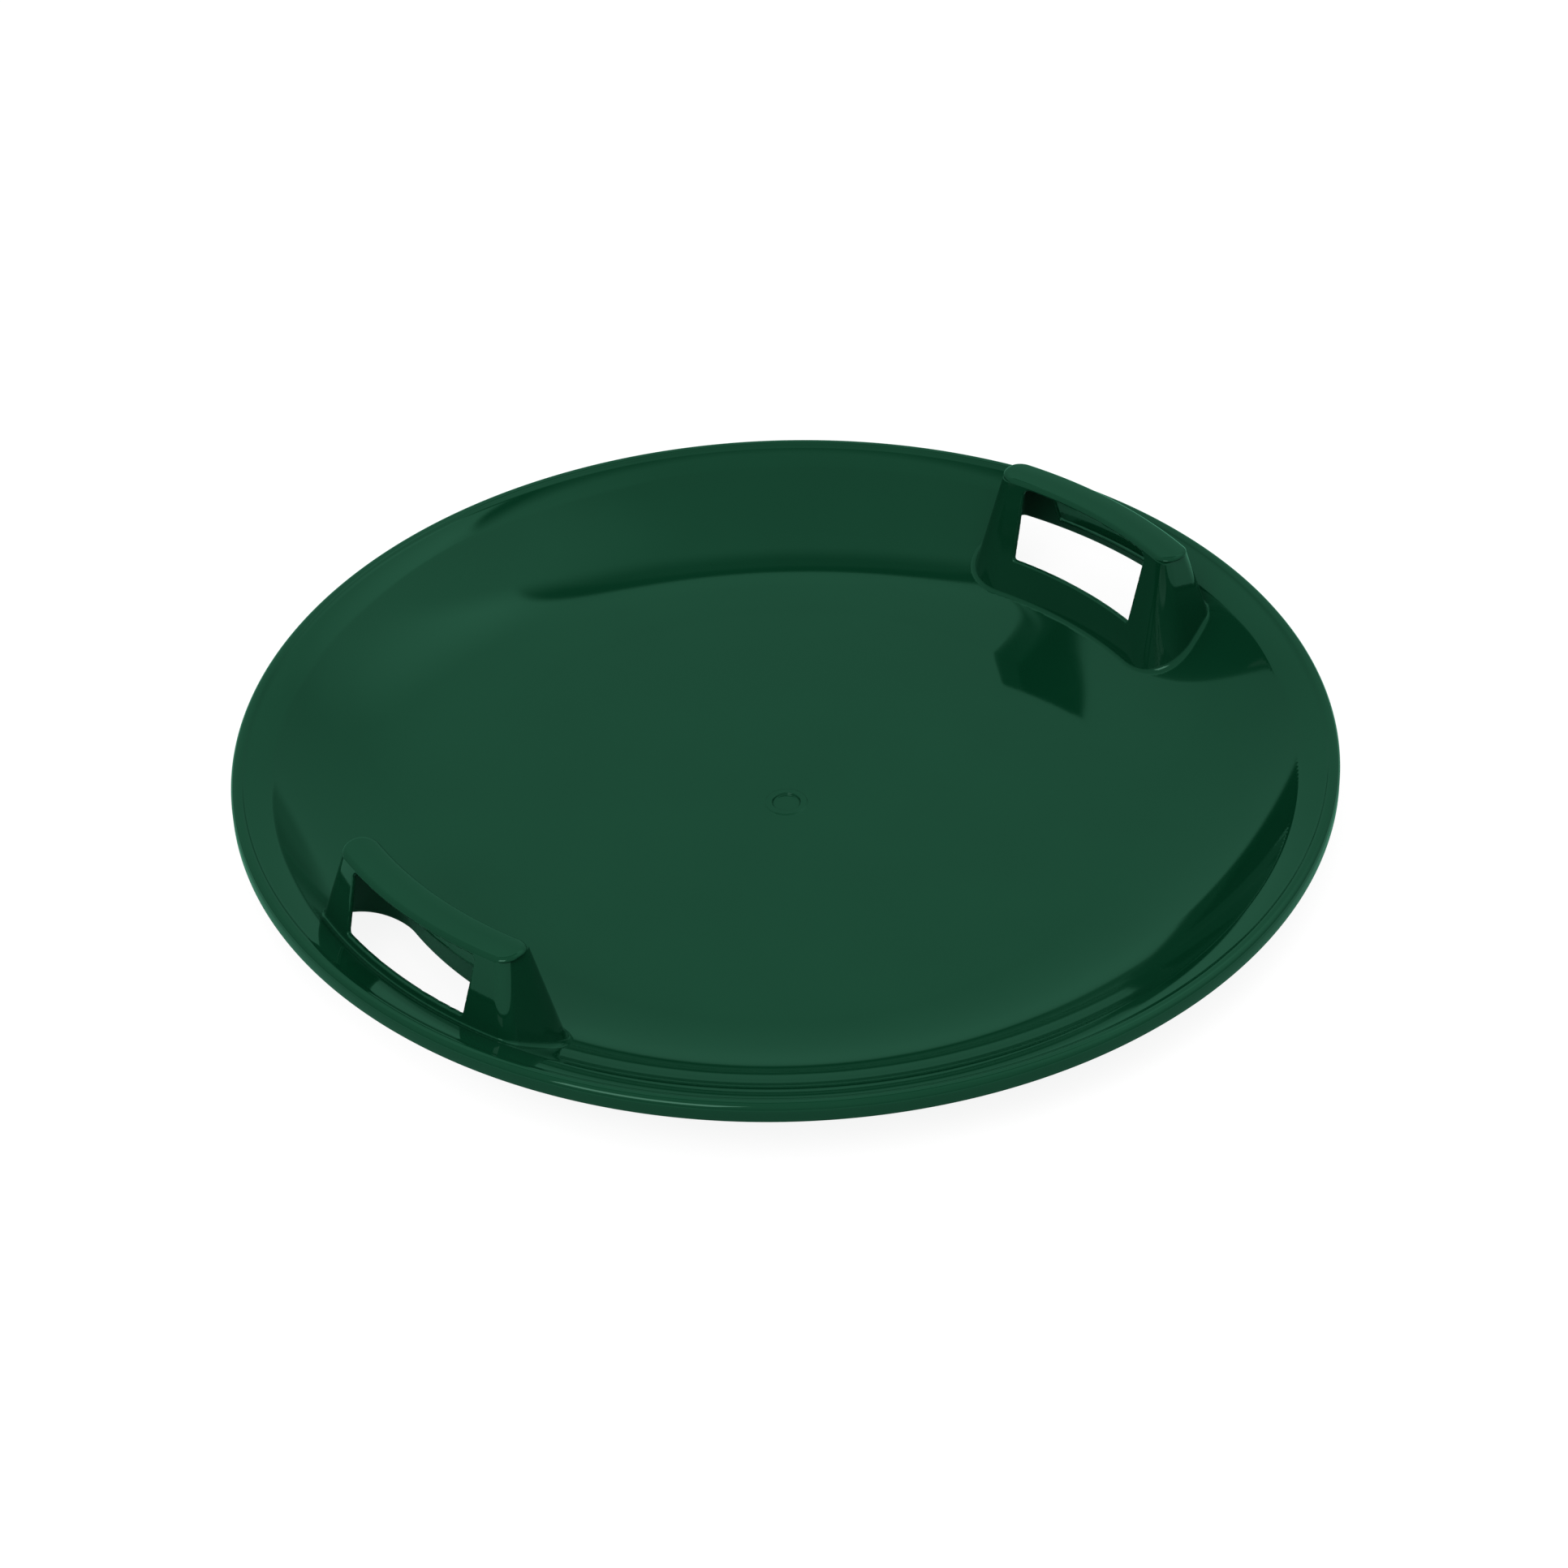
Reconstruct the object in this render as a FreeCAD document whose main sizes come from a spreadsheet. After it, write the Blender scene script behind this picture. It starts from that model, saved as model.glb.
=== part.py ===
# Saucer sled: a round dish with a rolled rim and two hollow handles on opposite sides.
# Frame: origin under the middle of the floor, +Z up, handles along +X and -X. Millimetres.
import FreeCAD
import Part
import math
import os
import Sketcher

# Driving sizes. Names that end in share are plain ratios.
SIZES = {
    "wall": 3.0,                    # shell thickness
    "seam": 0.2,                    # gap between neighbouring pieces
    "overrun": 5.0,                 # how far cuts reach past what they cut
    "floor_radius": 191.0,          # flat disc in the middle
    "bowl_radius": 295.0,           # top edge of the bowl, where the rim begins
    "bowl_rise": 39.3,              # height of that edge over the floor
    "mark_radius": 8.0,             # recess of the mould mark
    "mark_depth": 0.9,
    "mark_ring_width": 4.2,         # raised ring around the recess
    "mark_ring_rise": 0.5,
    "flange_width": 15.3,           # sloping band of the rim
    "flange_rise": 6.7,
    "valley_round": 1.5,            # crease between band and bead
    "bead_width": 7.2,
    "bead_rise": 1.1,
    "bead_round": 3.2,
    "lip_drop": 11.0,               # from the bead's crest to the lip's lower edge
    "head_height": 80.0,            # top of the handle frame
    "head_outer_inset": 16.9,       # from the bowl's edge in to the frame's outer face
    "head_depth": 22.8,             # frame from inner to outer face at its top
    "head_half_width": 68.5,
    "head_corner": 6.0,             # corner between panel and cheek, at the top
    "foot_corner": 28.0,            # the same corner, at the level of the underside
    "outer_corner": 4.5,            # corner between cheek and outer face
    "panel_lean_share": 0.255,      # lean of each face, run over rise
    "cheek_lean_share": 0.26,
    "outer_lean_share": 0.27,
    "window_half_width": 47.5,      # finger window in the inner panel, at its bottom
    "window_splay": 2.5,            # each side further out at the top
    "window_bottom": 33.0,
    "lintel_height": 1.2,           # left of the frame above the window and the gate
    "window_round": 5.0,
    "gate_half_width": 48.5,        # opening in the outer face, at its bottom
    "gate_splay": 2.5,              # each side further out at the top
    "gate_round": 4.0,
    "grip_thickness": 3.0,
    "grip_overhang": 1.0,           # grip past the frame's panel and outer face
    "grip_end_overhang": 2.5,       # grip past the cheeks
    "grip_corner": 10.0,            # rounded ends in plan
    "grip_edge_round": 2.2,
}

# Values worked out from the sizes, as text for expressions
S = {name: "sizes." + name for name in SIZES}
BOWL_RUN = f"({S['bowl_radius']} - {S['floor_radius']})"
BOWL_ARC = f"(({BOWL_RUN}^2 + {S['bowl_rise']}^2) / (2 * {S['bowl_rise']}))"
EDGE_SINE = f"({BOWL_RUN} / {BOWL_ARC})"
EDGE_COSINE = f"(({BOWL_ARC} - {S['bowl_rise']}) / {BOWL_ARC})"
EDGE_HEIGHT = f"({S['wall']} + {S['bowl_rise']})"
RIM_RADIUS = f"({S['bowl_radius']} + {S['flange_width']} + {S['bead_width']})"
CREST = f"({EDGE_HEIGHT} + {S['flange_rise']} + {S['bead_rise']})"
LIP_BOTTOM = f"({CREST} - {S['lip_drop']})"
HEAD_OUTER = f"({S['bowl_radius']} - {S['head_outer_inset']})"
HEAD_INNER = f"({HEAD_OUTER} - {S['head_depth']})"
FOOT_OUTER = f"({HEAD_OUTER} + {S['outer_lean_share']} * {S['head_height']})"
FRAME_MIDDLE = f"({HEAD_OUTER} - {S['head_depth']} / 2)"
OUTSIDE = f"({RIM_RADIUS} + {S['overrun']})"
BELOW = f"(-1 * {S['overrun']})"

SIDES = {"right": 0.0, "left": 180.0}
FULL_TURN = 360.0

document = FreeCAD.newDocument("saucer_sled")
sheet = document.addObject("Spreadsheet::Sheet", "sizes")
for row, (name, size) in enumerate(SIZES.items(), start=1):
    sheet.set(f"A{row}", name)
    sheet.set(f"B{row}", str(size))
    sheet.setAlias(f"B{row}", name)
document.recompute()


def value(text):
    """Number that an expression stands for."""
    return float(sheet.evalExpression(text.replace("sizes.", "")))


def point(across, up):
    return FreeCAD.Vector(across, up, 0)


def origin_feature(body, role):
    return next(feature for feature in body.Origin.OriginFeatures if feature.Role == role)


def new_sketch(body, name, plane, offset=""):
    """Sketch on an origin plane of its body, moved along the plane's normal by an expression."""
    sketch = body.newObject("Sketcher::SketchObject", name)
    sketch.AttachmentSupport = [(origin_feature(body, plane), "")]
    sketch.MapMode = "FlatFace"
    if offset:
        sketch.setExpression("AttachmentOffset.Base.z", offset)
    return sketch


def constrain(sketch, text, kind, *where):
    """Size a constraint by an expression."""
    number = sketch.addConstraint(Sketcher.Constraint(kind, *where, value(text)))
    sketch.setExpression(f"Constraints[{number}]", text)


def hold(sketch, kind, *where):
    sketch.addConstraint(Sketcher.Constraint(kind, *where))


def pin(sketch, geometry, end, across, up):
    """Put one point of the sketch at two expressions, on an axis where one is zero."""
    for text, kind, axis in ((across, "DistanceX", -2), (up, "DistanceY", -1)):
        if text == "0":
            hold(sketch, "PointOnObject", geometry, end, axis)
        else:
            constrain(sketch, text, kind, -1, 1, geometry, end)


def outline(sketch, corners):
    """Closed outline through corners (across, up, round) given as expressions; no round leaves one sharp."""
    spots = [point(value(across), value(up)) for across, up, _ in corners]
    rounds = [value(bend) if bend else 0.0 for _, _, bend in corners]
    count = len(corners)
    stops, starts, centres, turns = [], [], [], []
    for number, spot in enumerate(spots):
        back = (spots[number - 1] - spot).normalize()
        ahead = (spots[(number + 1) % count] - spot).normalize()
        half_angle = back.getAngle(ahead) / 2
        run = rounds[number] / math.tan(half_angle)
        stops.append(spot + back * run)
        starts.append(spot + ahead * run)
        centres.append(spot + (back + ahead).normalize() * (rounds[number] / math.sin(half_angle)))
        turns.append(ahead.cross(back).z > 0)
    lines = [
        sketch.addGeometry(Part.LineSegment(starts[number], stops[(number + 1) % count]))
        for number in range(count)
    ]
    for number, (across, up, bend) in enumerate(corners):
        before, after = lines[number - 1], lines[number]
        if not bend:
            hold(sketch, "Coincident", before, 2, after, 1)
            pin(sketch, after, 1, across, up)
            continue
        corner = sketch.addGeometry(Part.Point(spots[number]), True)
        pin(sketch, corner, 1, across, up)
        hold(sketch, "PointOnObject", corner, 1, before)
        hold(sketch, "PointOnObject", corner, 1, after)
        first, last = (stops, starts) if turns[number] else (starts, stops)
        first_angle, last_angle = (
            math.atan2(end[number].y - centres[number].y, end[number].x - centres[number].x)
            for end in (first, last)
        )
        circle = Part.Circle(centres[number], FreeCAD.Vector(0, 0, 1), rounds[number])
        arc = sketch.addGeometry(Part.ArcOfCircle(circle, first_angle, last_angle))
        hold(sketch, "Tangent", before, 2, arc, 1 if turns[number] else 2)
        hold(sketch, "Tangent", arc, 2 if turns[number] else 1, after, 1)
        constrain(sketch, bend, "Radius", arc)


def ring_plan(sketch, inner, outer, half, inner_corner, outer_corner):
    """Piece of a ring about the sled's axis with straight parallel ends and four rounded corners."""
    inner_size, outer_size, half_size = (value(text) for text in (inner, outer, half))
    axis = FreeCAD.Vector(0, 0, 1)
    arcs = []
    bends = []
    edges = ((inner, inner_size, inner_corner, 1), (outer, outer_size, outer_corner, -1))
    for radius, size, corner, sign in edges:
        bend_size = value(corner)
        up = half_size - bend_size
        across = math.sqrt((size + sign * bend_size) ** 2 - up ** 2)
        turn = math.atan2(up, across)
        arc = sketch.addGeometry(Part.ArcOfCircle(Part.Circle(point(0, 0), axis, size), -turn, turn))
        hold(sketch, "Coincident", arc, 3, -1, 1)
        constrain(sketch, radius, "Radius", arc)
        arcs.append(arc)
        bends.append((across, up, bend_size, turn, corner))
    quarter = math.pi / 2
    for side, arc_end in ((1, 2), (-1, 1)):
        (in_across, in_up, in_size, in_turn, _), (out_across, out_up, out_size, out_turn, _) = bends
        in_angles = (quarter, math.pi + in_turn) if side > 0 else (math.pi - in_turn, 3 * quarter)
        out_angles = (out_turn, quarter) if side > 0 else (-quarter, -out_turn)
        in_circle = Part.Circle(point(in_across, side * in_up), axis, in_size)
        out_circle = Part.Circle(point(out_across, side * out_up), axis, out_size)
        in_bend = sketch.addGeometry(Part.ArcOfCircle(in_circle, *in_angles))
        end_line = sketch.addGeometry(
            Part.LineSegment(point(in_across, side * half_size), point(out_across, side * half_size))
        )
        out_bend = sketch.addGeometry(Part.ArcOfCircle(out_circle, *out_angles))
        hold(sketch, "Tangent", arcs[0], arc_end, in_bend, arc_end)
        hold(sketch, "Tangent", in_bend, 3 - arc_end, end_line, 1)
        hold(sketch, "Tangent", end_line, 2, out_bend, arc_end)
        hold(sketch, "Tangent", out_bend, 3 - arc_end, arcs[1], arc_end)
        hold(sketch, "Horizontal", end_line)
        constrain(sketch, f"{side} * {half}", "DistanceY", -1, 1, end_line, 1)
        constrain(sketch, inner_corner, "Radius", in_bend)
        constrain(sketch, outer_corner, "Radius", out_bend)


def opening_outline(sketch, half, splay, bottom, top, bend):
    """Upright opening, wider at its top by a splay on each side, with rounded upper corners."""
    high_half = f"({half} + {splay})"
    outline(sketch, [
        (f"(-1 * {half})", bottom, ""),
        (half, bottom, ""),
        (high_half, top, bend),
        (f"(-1 * {high_half})", top, bend),
    ])


def stand_half(height):
    """Half width of the handle stand at a height."""
    return f"({S['head_half_width']} + {S['cheek_lean_share']} * ({S['head_height']} - {height}))"


def stand_inner(height):
    """Radius of the stand's inner panel at a height."""
    return f"({HEAD_INNER} - {S['panel_lean_share']} * ({S['head_height']} - {height}))"


def stand_corner(height):
    """Corner between panel and cheek, which tightens from foot to head."""
    drop = f"({S['foot_corner']} - {S['head_corner']})"
    return f"({S['foot_corner']} - {drop} * {height} / {S['head_height']})"


def stand_loft(body, kind, name, grow):
    """Loft of the handle stand from foot to head, each face moved out by the expression grow."""
    levels = (("foot", "0", FOOT_OUTER), ("head", S["head_height"], HEAD_OUTER))
    plans = []
    for level, height, outer in levels:
        plan = new_sketch(body, f"{name}_{level}", "XY_Plane", height)
        ring_plan(
            plan,
            f"({stand_inner(height)} - ({grow}))",
            f"({outer} + ({grow}))",
            f"({stand_half(height)} + ({grow}))",
            f"({stand_corner(height)} + ({grow}))",
            f"({S['outer_corner']} + ({grow}))",
        )
        plans.append(plan)
    loft = body.newObject(kind, name)
    loft.Profile = plans[0]
    loft.Sections = plans[1:]
    loft.Ruled = True
    document.recompute()
    return loft


def turned(body, kind, name, sketch, angle):
    """Revolve a sketch about the sled's axis, evenly to both sides, by an expression in degrees."""
    turn = body.newObject(kind, name)
    turn.Profile = sketch
    turn.ReferenceAxis = (sketch, ["V_Axis"])
    turn.Midplane = True
    turn.setExpression("Angle", angle)
    document.recompute()
    return turn


def pocket(body, name, sketch, depth):
    """Cut a sketch into its body to a depth along the sketch's normal."""
    before = body.Shape.Volume
    cut = body.newObject("PartDesign::Pocket", name)
    cut.Profile = sketch
    cut.Reversed = True
    cut.setExpression("Length", depth)
    document.recompute()
    if cut.Shape.Volume >= before:
        raise RuntimeError(f"{name} cuts nothing")
    return cut


def underside_trim(body, name):
    """Cut away whatever hangs below the curved underside of the dish."""
    sketch = new_sketch(body, name + "_profile", "XZ_Plane")
    edge_across = f"({S['bowl_radius']} + {S['wall']} * {EDGE_SINE})"
    edge_height = f"({EDGE_HEIGHT} - {S['wall']} * {EDGE_COSINE})"
    far = f"({FOOT_OUTER} + {S['overrun']})"
    corners = [
        (S["floor_radius"], "0"), (S["floor_radius"], BELOW), (far, BELOW), (far, edge_height),
        (edge_across, edge_height),
    ]
    spots = [point(value(across), value(up)) for across, up in corners]
    lines = [sketch.addGeometry(Part.LineSegment(*pair)) for pair in zip(spots, spots[1:])]
    for number, line in enumerate(lines):
        pin(sketch, line, 1, *corners[number])
        if number:
            hold(sketch, "Coincident", lines[number - 1], 2, line, 1)
    pin(sketch, lines[-1], 2, *corners[-1])
    arc_size = value(f"{BOWL_ARC} + {S['wall']}")
    edge_turn = math.asin(value(EDGE_SINE))
    circle = Part.Circle(point(spots[0].x, arc_size), FreeCAD.Vector(0, 0, 1), arc_size)
    arc = sketch.addGeometry(Part.ArcOfCircle(circle, -math.pi / 2, -math.pi / 2 + edge_turn))
    hold(sketch, "Coincident", lines[0], 1, arc, 1)
    hold(sketch, "Coincident", lines[-1], 2, arc, 2)
    constrain(sketch, S["floor_radius"], "DistanceX", -1, 1, arc, 3)
    return turned(body, "PartDesign::Groove", name, sketch, str(FULL_TURN))


def dish_profile(sketch):
    """Half section of the dish: flat floor with its mould mark, then one arc up to the rim."""
    arc_size, wall_size = value(BOWL_ARC), value(S["wall"])
    floor_size = value(S["floor_radius"])
    edge_turn = math.asin(value(EDGE_SINE))
    centre = point(floor_size, arc_size + wall_size)
    axis = FreeCAD.Vector(0, 0, 1)
    under, upper = (
        sketch.addGeometry(
            Part.ArcOfCircle(Part.Circle(centre, axis, size), -math.pi / 2, -math.pi / 2 + edge_turn)
        )
        for size in (arc_size + wall_size, arc_size)
    )
    ring_radius = f"({S['mark_radius']} + {S['mark_ring_width']})"
    ring_top = f"({S['wall']} + {S['mark_ring_rise']})"
    mark_floor = f"({S['wall']} - {S['mark_depth']})"
    steps = [
        (S["floor_radius"], S["wall"]), (ring_radius, S["wall"]), (ring_radius, ring_top),
        (S["mark_radius"], ring_top), (S["mark_radius"], mark_floor), ("0", mark_floor),
        ("0", "0"), (S["floor_radius"], "0"),
    ]
    spots = [point(value(across), value(up)) for across, up in steps]
    lines = [sketch.addGeometry(Part.LineSegment(*pair)) for pair in zip(spots, spots[1:])]
    for number, line in enumerate(lines):
        pin(sketch, line, 1, *steps[number])
        if number:
            hold(sketch, "Coincident", lines[number - 1], 2, line, 1)
    pin(sketch, lines[-1], 2, *steps[-1])
    hold(sketch, "Coincident", lines[-1], 2, under, 1)
    hold(sketch, "Coincident", upper, 1, lines[0], 1)
    constrain(sketch, S["floor_radius"], "DistanceX", -1, 1, under, 3)
    hold(sketch, "Coincident", under, 3, upper, 3)
    rim_end = sketch.addGeometry(
        Part.LineSegment(sketch.getPoint(under, 2), sketch.getPoint(upper, 2))
    )
    hold(sketch, "Coincident", under, 2, rim_end, 1)
    hold(sketch, "Coincident", rim_end, 2, upper, 2)
    hold(sketch, "PointOnObject", under, 3, rim_end)
    pin(sketch, upper, 2, S["bowl_radius"], EDGE_HEIGHT)


def make_dish():
    body = document.addObject("PartDesign::Body", "dish")
    profile = new_sketch(body, "dish_profile", "XZ_Plane")
    dish_profile(profile)
    turned(body, "PartDesign::Revolution", "dish_shell", profile, str(FULL_TURN))
    opening = stand_loft(body, "PartDesign::SubtractiveLoft", "dish_opening", S["seam"])
    both = body.newObject("PartDesign::PolarPattern", "dish_openings")
    both.Originals = [opening]
    both.Axis = (profile, ["V_Axis"])
    both.Angle = FULL_TURN
    both.Occurrences = len(SIDES)
    body.Tip = both
    return body


def make_rim():
    """Ring with a sloping band, a rolled bead and a lip turned down outside, one seam off the bowl."""
    body = document.addObject("PartDesign::Body", "rim")
    profile = new_sketch(body, "rim_profile", "XZ_Plane")
    valley = f"({S['bowl_radius']} + {S['flange_width']})"
    valley_height = f"({EDGE_HEIGHT} + {S['flange_rise']})"
    bead_start = f"({valley} + {S['bead_rise']})"
    lip_inner = f"({RIM_RADIUS} - {S['wall']})"
    edge_across = f"({S['bowl_radius']} + {S['seam']} * {EDGE_COSINE})"
    edge_height = f"({EDGE_HEIGHT} + {S['seam']} * {EDGE_SINE})"
    under_across = f"({edge_across} + {S['wall']} * {EDGE_SINE})"
    under_height = f"({edge_height} - {S['wall']} * {EDGE_COSINE})"
    outline(profile, [
        (edge_across, edge_height, ""),
        (under_across, under_height, ""),
        (valley, f"({valley_height} - {S['wall']})", ""),
        (lip_inner, f"({CREST} - {S['wall']})", ""),
        (lip_inner, LIP_BOTTOM, ""),
        (RIM_RADIUS, LIP_BOTTOM, ""),
        (RIM_RADIUS, CREST, S["bead_round"]),
        (bead_start, CREST, S["valley_round"]),
        (valley, valley_height, ""),
    ])
    turned(body, "PartDesign::Revolution", "rim_ring", profile, str(FULL_TURN))
    return body


def make_frame(side, angle):
    """Hollow stand in the dish's opening: inner panel with its window, cheeks, outer wall with its gate."""
    label = f"handle_frame_{side}"
    body = document.addObject("PartDesign::Body", label)
    stand_loft(body, "PartDesign::AdditiveLoft", label + "_block", "0")
    stand_loft(body, "PartDesign::SubtractiveLoft", label + "_hollow", f"-1 * {S['wall']}")
    window = new_sketch(body, label + "_window_outline", "YZ_Plane")
    opening_outline(
        window, S["window_half_width"], S["window_splay"], S["window_bottom"],
        f"({S['head_height']} - {S['lintel_height']})", S["window_round"],
    )
    pocket(body, label + "_window", window, FRAME_MIDDLE)
    gate = new_sketch(body, label + "_gate_outline", "YZ_Plane", FRAME_MIDDLE)
    opening_outline(
        gate, S["gate_half_width"], S["gate_splay"], EDGE_HEIGHT,
        f"({S['head_height']} - {S['lintel_height']})", S["gate_round"],
    )
    pocket(body, label + "_gate", gate, OUTSIDE)
    underside_trim(body, label + "_foot")
    body.Placement.Rotation = FreeCAD.Rotation(FreeCAD.Vector(0, 0, 1), angle)
    return body


def make_grip(side, angle):
    """Curved strap on top of a stand, with rounded ends and a rounded upper edge."""
    label = f"grip_{side}"
    body = document.addObject("PartDesign::Body", label)
    plan = new_sketch(body, label + "_plan", "XY_Plane", S["head_height"])
    past = S["grip_overhang"]
    ring_plan(
        plan,
        f"({HEAD_INNER} - {past})",
        f"({HEAD_OUTER} + {past})",
        f"({S['head_half_width']} + {S['grip_end_overhang']})",
        S["grip_corner"],
        S["grip_corner"],
    )
    strap = body.newObject("PartDesign::Pad", label + "_strap")
    strap.Profile = plan
    strap.setExpression("Length", S["grip_thickness"])
    document.recompute()
    heights = [face.CenterOfMass.z for face in strap.Shape.Faces]
    top = heights.index(max(heights)) + 1
    edge = body.newObject("PartDesign::Fillet", label + "_edge")
    edge.Base = (strap, [f"Face{top}"])
    edge.setExpression("Radius", S["grip_edge_round"])
    body.Placement.Rotation = FreeCAD.Rotation(FreeCAD.Vector(0, 0, 1), angle)
    return body


parts = [make_dish(), make_rim()]
for side, angle in SIDES.items():
    parts.append(make_frame(side, angle))
    parts.append(make_grip(side, angle))
document.recompute()

faults = [item.Name for item in document.Objects if {"Invalid", "Error"} & set(item.State)]
for part in parts:
    part.Label = part.Name
    if part.Shape.isNull() or not part.Shape.isValid() or len(part.Shape.Solids) != 1:
        faults.append(part.Name)
if faults:
    raise RuntimeError("failed: " + ", ".join(faults))

os.makedirs("parts", exist_ok=True)
for part in parts:
    part.Shape.exportStep(f"parts/{part.Label}.step")
    box = part.Shape.optimalBoundingBox()
    print(f"{part.Label}: {part.Shape.Volume:.0f} mm3, height {box.ZMin:.2f} to {box.ZMax:.2f}")
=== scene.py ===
"""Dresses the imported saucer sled: moulded skins, plastic, floor, light and camera."""
import math

import bpy
import numpy as np
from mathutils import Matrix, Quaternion, Vector, geometry


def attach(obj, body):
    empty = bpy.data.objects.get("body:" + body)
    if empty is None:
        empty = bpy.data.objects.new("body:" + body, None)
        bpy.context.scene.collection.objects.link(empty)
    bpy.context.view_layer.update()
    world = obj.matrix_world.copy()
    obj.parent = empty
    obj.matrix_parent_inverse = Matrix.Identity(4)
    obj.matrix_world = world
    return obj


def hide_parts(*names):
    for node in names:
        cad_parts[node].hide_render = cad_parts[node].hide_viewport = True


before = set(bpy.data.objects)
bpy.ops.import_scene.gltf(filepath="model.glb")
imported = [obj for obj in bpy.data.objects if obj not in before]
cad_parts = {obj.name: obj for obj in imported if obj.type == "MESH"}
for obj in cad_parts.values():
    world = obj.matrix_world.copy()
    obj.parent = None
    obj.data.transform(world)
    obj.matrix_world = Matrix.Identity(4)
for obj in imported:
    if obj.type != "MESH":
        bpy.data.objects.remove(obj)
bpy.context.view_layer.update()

# Sizes in millimetres, as in the part's source
MM = 0.001
WALL = 3.0
FLOOR_RADIUS = 191.0
BOWL_RADIUS = 295.0
BOWL_RISE = 39.3
FLANGE_WIDTH = 15.3
FLANGE_RISE = 6.7
BEAD_WIDTH = 7.2
BEAD_RISE = 1.1
LIP_DROP = 11.0
MARK_RADIUS = 8.0
MARK_DEPTH = 0.9
MARK_RING_WIDTH = 4.2
MARK_RING_RISE = 0.5
HEAD_HEIGHT = 80.0
HEAD_OUTER_INSET = 16.9
HEAD_DEPTH = 22.8
HEAD_HALF = 68.5
HEAD_CORNER = 6.0
FOOT_CORNER = 28.0
PANEL_LEAN = 0.255
CHEEK_LEAN = 0.26
OUTER_LEAN = 0.27
WINDOW_HALF = 47.5
WINDOW_SPLAY = 2.5
WINDOW_BOTTOM = 33.0
WINDOW_ROUND = 5.0
GATE_HALF = 48.5
GATE_SPLAY = 2.5
GATE_ROUND = 4.0
LINTEL_HEIGHT = 1.2
GRIP_THICKNESS = 3.0
GRIP_END_OVERHANG = 2.5
GRIP_CORNER = 10.0

# Sizes worked out from those
BOWL_RUN = BOWL_RADIUS - FLOOR_RADIUS
BOWL_ARC = (BOWL_RUN ** 2 + BOWL_RISE ** 2) / (2 * BOWL_RISE)
EDGE_HEIGHT = WALL + BOWL_RISE
RIM_RADIUS = BOWL_RADIUS + FLANGE_WIDTH + BEAD_WIDTH
CREST = EDGE_HEIGHT + FLANGE_RISE + BEAD_RISE
HEAD_OUTER = BOWL_RADIUS - HEAD_OUTER_INSET
HEAD_INNER = HEAD_OUTER - HEAD_DEPTH
FRAME_MIDDLE = (HEAD_INNER + HEAD_OUTER) / 2
OPENING_TOP = HEAD_HEIGHT - LINTEL_HEIGHT
GRIP_HALF = HEAD_HALF + GRIP_END_OVERHANG
GRIP_TOP = HEAD_HEIGHT + GRIP_THICKNESS

# Soft transitions of the moulding, in millimetres of distance to the two faces that meet.
# Names that end in share are plain ratios, and blends are ranges of distance.
PANEL_FILLET = 1.6
CHEEK_FILLET = 3.0
OUTER_FILLET = 1.6
CHEEK_BLEND = (-20, 20)
OUTER_BLEND = (-12, 4)
OUTER_CORNER = 9.0
INNER_CORNER_SHARE = 1.28
OUTER_CORNER_SHARE = 0.72
EDGE_SOFT = 0.3
EDGE_REACH = 20.0
FLANGE_START = math.radians(27.0)
CUT_EDGE = 1.0
SILL_ROUND = 1.5
FOOT_MARGIN = 0.5
GRIP_EDGE = 2.9
GRIP_TUCK = 1.0
GRIP_TUCK_RISE = 1.4
GRIP_CROWN = 1.4
GRIP_INNER_SHARE = 1.25
GRIP_OUTER_SHARE = 0.75
GRIP_PLAN_SOFT = 0.1

# Reach of slopes, and the least length to divide by
SLOPE_REACH = 0.02
TINY = 1e-9


def round_max(a, b, size):
    """Overlap of two distance fields with a rounded edge."""
    corner = np.hypot(np.maximum(size + a, 0), np.maximum(size + b, 0))
    return np.minimum(-size, np.maximum(a, b)) + corner


def round_min(a, b, size):
    """Union of two distance fields with a fillet."""
    corner = np.hypot(np.maximum(size - a, 0), np.maximum(size - b, 0))
    return np.maximum(size, np.minimum(a, b)) - corner


def ramp(number, low, high):
    """Smooth step from 0 at low to 1 at high."""
    share = np.clip((number - low) / (high - low), 0, 1)
    return share * share * (3 - 2 * share)


def over_dish(radius, z):
    """Distance over the dish's upper surface, negative below it."""
    run = np.maximum(radius - FLOOR_RADIUS, 0)
    arc = BOWL_ARC - np.hypot(run, z - WALL - BOWL_ARC)
    up = (z - EDGE_HEIGHT) * math.cos(FLANGE_START)
    flange = up - (radius - BOWL_RADIUS) * math.sin(FLANGE_START)
    return np.where(radius > BOWL_RADIUS - EDGE_REACH, round_max(arc, flange, EDGE_SOFT), arc)


def dish_field(points):
    return over_dish(np.hypot(points[0], points[1]), points[2])


def dish_height(radius, depth=0.0):
    """Height of the dish's upper surface, or of the surface at a depth under it."""
    run = np.maximum(radius - FLOOR_RADIUS, 0)
    return WALL + BOWL_ARC - np.sqrt((BOWL_ARC + depth) ** 2 - run ** 2)


def stand_faces(x, y, z):
    """Distances to the panel, cheeks and outer face of a stand on the +X side, negative inside."""
    radius = np.hypot(x, y)
    up = HEAD_HEIGHT - z
    panel = (HEAD_INNER - PANEL_LEAN * up - radius) / math.hypot(1, PANEL_LEAN)
    cheek = (np.abs(y) - HEAD_HALF - CHEEK_LEAN * up) / math.hypot(1, CHEEK_LEAN)
    outer = (radius - HEAD_OUTER - OUTER_LEAN * up) / math.hypot(1, OUTER_LEAN)
    return panel, cheek, outer


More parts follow.
